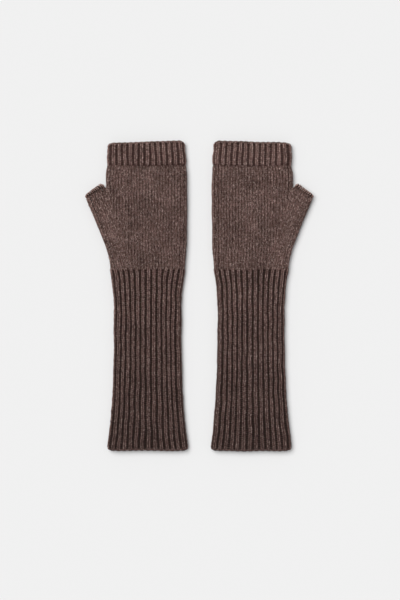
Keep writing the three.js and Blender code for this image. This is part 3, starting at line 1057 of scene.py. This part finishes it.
def join_chain(sheet):
    """The marks of the join: a chain laid along the gusset's line on one sheet."""
    turns = round(JOIN_LENGTH / COURSE)
    share = np.linspace(0, 1, turns * CHAIN_SAMPLES)
    x = GUSSET_FOOT[0] + (CORNER - GUSSET_FOOT)[0] * share
    y = GUSSET_FOOT[1] + (CORNER - GUSSET_FOOT)[1] * share
    sheets = np.full(len(share), float(sheet))
    out = np.full(len(share), JOIN_OUT)
    return chain(x, y, sheets, out, HAND_FOLDS, turns, False, JOIN_RADIUS, JOIN_WIDTH)


# %% [markdown]
# The bars follow the thumb's own paper. Each climbs the outside, goes over the rim in a half circle
# and ends inside. A few random numbers a bar keep the ring from looking like a comb.

# %% Bars round the thumb's rim
THUMB_BARS = 24
BAR_STEPS = 12
BAR_SIDES = 6
BAR_RADIUS = 0.66 * MM
BAR_SLANT = 0.45             # how far a bar leans over its length, in bars
BAR_FOOT = 1.0 * MM          # its foot is drawn into the knitting
BAR_TAIL = 2.5 * MM          # how far it runs down inside
BAR_IN = 0.2 * MM            # the whole ring lies this much lower than the fabric's middle
BAR_FOLD_IN = 0.6 * MM       # bars lie lower near the side folds
# painted shade: bars get the lighter painted shade of strands lying this much further out
BAR_SHADE_LIFT = 0.7 * MM         # bars are coloured as if they lay this much further out
RIM_BULGE = 0.8 * MM         # the radius of the half circle over the rim
LOOSE_BAR_UP = 0.15 * MM     # what varies from bar to bar
LOOSE_BAR_OUT = 0.08 * MM
LOOSE_BAR_PLACE = 0.06
LOOSE_BAR_SLANT = 0.15


def thumb_rim(hands):
    """Short slanting bars over the thumb's rim. With s from 0 to 1 along a bar, it climbs the outside to
    s = 1/2, goes over a half circle to s = 3/4, and runs down inside."""
    share = np.linspace(0, 1, BAR_STEPS)
    bend = np.clip((share - 0.5) / 0.25, 0, 1) * np.pi
    climb = np.clip(share / 0.5, 0, 1) * (THUMB_EDGE - RIM_BULGE)
    tail = np.clip(share / 0.25 - 3, 0, 1) * BAR_TAIL
    foot = np.clip(1 - share / 0.15, 0, 1) * BAR_FOOT
    high, far, moved, leant = hands.rng.normal(0, 1, (4, THUMB_BARS, 1))
    slant = (BAR_SLANT + LOOSE_BAR_SLANT * leant) * (share - 0.5)
    bar = np.arange(THUMB_BARS)[:, None] + 0.5 + slant
    wale = bar * THUMB_WALES / THUMB_BARS + moved * LOOSE_BAR_PLACE
    share_across, _ = sheet_of(wale, THUMB_SIDE_WALES)
    near_fold = np.abs(2 * share_across - 1) ** 4
    up = climb - tail + RIM_BULGE * np.sin(bend) + high * LOOSE_BAR_UP
    out = RIM_BULGE * np.cos(bend) - BAR_IN - foot + far * LOOSE_BAR_OUT - BAR_FOLD_IN * near_fold
    x, y, sheet = thumb_paper(wale, 1 + (up - THUMB_EDGE) / INNER_LENGTH)
    x, y, out = hands.place(x, y, sheet, out)
    points, normals = fold_up(x, y, sheet, out, THUMB_FOLDS)
    radius = BAR_RADIUS * np.sqrt(np.sin(np.pi * np.clip(share, 0.1, 0.9))) + np.zeros_like(x)
    # the bars take less painted shade than their own depth would give
    return strands(Path(points, normals, radius, out + BAR_SHADE_LIFT), False, side_count=BAR_SIDES)


# %% [markdown]
# Inside the little-finger fold the tube is closed by a seam, sewn over and over along the row ends.

# %% Inner seam
SEAM_IN = 2.6 * MM           # from the fold to the middle of the coil
SEAM_HALF_WIDTH = 0.9 * MM
SEAM_HALF_HEIGHT = 0.55 * MM
SEAM_RADIUS = 0.4 * MM


def linked_seam(low, high):
    """An overcast seam inside the little-finger fold: a coil of yarn along it, one turn for each row."""
    turns = round((high - low) / COURSE)
    turn = np.linspace(0, turns, turns * CHAIN_SAMPLES)
    y = low + turn / turns * (high - low)
    middle = np.interp(y, HEIGHTS, RIGHT_EDGE) - SEAM_IN
    x = middle + SEAM_HALF_WIDTH * np.cos(2 * np.pi * turn)
    z = GLOVE_MIDDLE_Z + SEAM_HALF_HEIGHT * np.sin(2 * np.pi * turn)
    centres = np.stack([x, y, z], -1)[None]
    outward = np.broadcast_to(np.array([0.0, 1.0, 0.0]), centres.shape)
    depth = np.zeros(centres.shape[:2])
    return strands(Path(centres, outward, depth + SEAM_RADIUS, depth), False)


# %% [markdown]
# ## Making both gloves
# The knitting is made in parts that match how the glove bends. The sleeve and the hand stay stiff in
# the frame, so the ribbing across the wrist between them is a piece of its own, and so is the gusset by
# the thumb's fold. Those pieces ride on no body, and their transforms are baked into their meshes.

# %% Where the gloves bend
JOINT = {j["name"]: j for j in frame["joints"]}
FOLD_Y = JOINT["left_wrist_fold"]["pos_m"][1]
BEND_LOW = FOLD_Y - 30 * MM
SLEEVE_SPLIT = HEM_Y + 76 * MM   # long pieces are cut in two to keep each mesh light
PALM_SPLIT = WRIST_Y + 58 * MM
EDGE_LENGTH = 3 * MM             # of each open end's chain, and how much of it the ribbing leaves free
EDGE_FREE = 0.7
HEM_CHAIN_Y = HEM_Y + 1.2 * MM
CAST_OFF_Y = TOP_Y - 1.3 * MM
SEAM_GAP = 2 * MM


def bend_wrist(knitting):
    """Bakes the piece's transform into its mesh. No bend is set up here."""
    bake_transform(knitting)


def bend_thumb(knitting, side):
    """Works out the way square to the thumb's hinge, away from the hand, which nothing uses, and bakes the
    piece's transform into its mesh. No bend is set up here.
    """
    hinge = JOINT[f"{side}_thumb_fold"]
    ax, ay, _ = hinge["axis"]
    away = np.array([-abs(ay), ax * np.sign(ay)])
    if side == "right":
        away = -away
    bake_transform(knitting)


# %% [markdown]
# One function makes a glove, so both have the same pieces. Each piece hides the plain nodes it stands
# in for, and rides on its body where it has one. The pieces are made from the elbow to the fingers,
# because each draws from the same random numbers in turn.

# %% Both gloves
def make_glove(side, seed):
    """All the pieces of one glove, from the hem to the seams inside."""
    mirrored = side == "right"
    hands = Hands(seed)

    def made(name, parts, material, slot, *nodes, body=None):
        """One piece, with the plain nodes it stands in for, which are hidden, and the body it rides on. The
        slot is not used.
        """
        new = piece(f"{side}_{name}", parts, material, hands, mirrored)
        if nodes:
            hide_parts(*[f"{side}_{node}" for node in nodes])
        if body:
            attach(new, f"{side}_{body}")
        return new

    hem_top = HEM_Y + EDGE_LENGTH * EDGE_FREE
    lower = closed_tube(hem_top, SLEEVE_SPLIT, hands, True, SLEEVE_FOLDS)
    upper = closed_tube(SLEEVE_SPLIT, BEND_LOW, hands, True, SLEEVE_FOLDS)
    wrist = closed_tube(BEND_LOW, WRIST_Y, hands, True, SLEEVE_FOLDS)
    made("sleeve_rib_lower", lower, rib_wool, "ribbed_wool", "forearm_rib", body="forearm")
    made("sleeve_rib_upper", upper, rib_wool, "ribbed_wool", "forearm_rib", body="forearm")
    bend_wrist(made("wrist_rib_knit", wrist, rib_wool, "ribbed_wool", "wrist_rib"))
    hem = rim_chain(HEM_CHAIN_Y, hands, SLEEVE_FOLDS)
    made("hem_chain", [hem], rib_wool, "edge_yarn", "hem", body="forearm")

    low_hand = open_hand(WRIST_Y, PALM_SPLIT, hands)
    mid_hand = open_hand(PALM_SPLIT, CORNER[1], hands)
    top_hand = closed_tube(CORNER[1], BAND_LOW, hands, False, HAND_FOLDS)
    made("hand_knit_lower", low_hand, plain_wool, "plain_wool", "hand_knit", body="hand")
    made("hand_knit_upper", mid_hand + top_hand, plain_wool, "plain_wool", "hand_knit", body="hand")
    joins = [join_chain(1), join_chain(-1)]
    made("gusset_join", joins, plain_wool, "plain_wool", body="hand")

    band_top = TOP_Y - EDGE_LENGTH * EDGE_FREE
    band = closed_tube(BAND_LOW, band_top, hands, True, HAND_FOLDS)
    made("finger_band_rib", band, band_wool, "ribbed_wool", "finger_band", body="hand")
    cast_off = rim_chain(CAST_OFF_Y, hands, HAND_FOLDS)
    made("cast_off_chain", [cast_off], edge_wool, "edge_yarn", "cast_off_edge", body="hand")

    tip = 1 - RIM_BULGE * 2 / INNER_LENGTH
    gusset = thumb_rows(0, CROTCH_SHARE, hands, False) + thumb_rows(CROTCH_SHARE, tip, hands, True)
    bend_thumb(made("gusset_knit", gusset, plain_wool, "plain_wool", "thumb_gusset", "thumb_sleeve"), side)
    bend_thumb(made("thumb_rim_bars", [thumb_rim(hands)], bar_wool, "edge_yarn", "thumb_cast_off"), side)

    low_seam = linked_seam(HEM_Y + EDGE_LENGTH + SEAM_GAP, BEND_LOW - SEAM_GAP)
    high_seam = linked_seam(BEND_LOW + SEAM_GAP, TOP_Y - EDGE_LENGTH - SEAM_GAP)
    made("sleeve_seam", [low_seam], rib_wool, "seam_yarn", "forearm_seam", body="forearm")
    bend_wrist(made("hand_seam_coil", [high_seam], rib_wool, "seam_yarn", "hand_seam"))


make_glove("left", seed=11)
make_glove("right", seed=29)

# %% [markdown]
# ## The table
# A plain pale sheet. It is very large, so that its edge stays far off even in a view from low down.

# %% Table
SHEET = 40.0             # metres from its middle to each edge
FLOOR_GREY = (0.785, 0.785, 0.785, 1)

table_mesh = bpy.data.meshes.new("table")
corners = [(-SHEET, -SHEET, 0), (SHEET, -SHEET, 0), (SHEET, SHEET, 0), (-SHEET, SHEET, 0)]
table_mesh.from_pydata(corners, [], [(0, 1, 2, 3)])
table = bpy.data.objects.new("table", table_mesh)
scene.collection.objects.link(table)
paper = bpy.data.materials.new("pale_sheet")
paper.use_nodes = True
paper.node_tree.nodes["Principled BSDF"].inputs["Base Color"].default_value = FLOOR_GREY
paper.node_tree.nodes["Principled BSDF"].inputs["Roughness"].default_value = 0.9
paper.node_tree.nodes["Principled BSDF"].inputs["Specular IOR Level"].default_value = 0.0
table_mesh.materials.append(paper)
print("table width in metres:", 2 * SHEET)

# %% One more import
import json
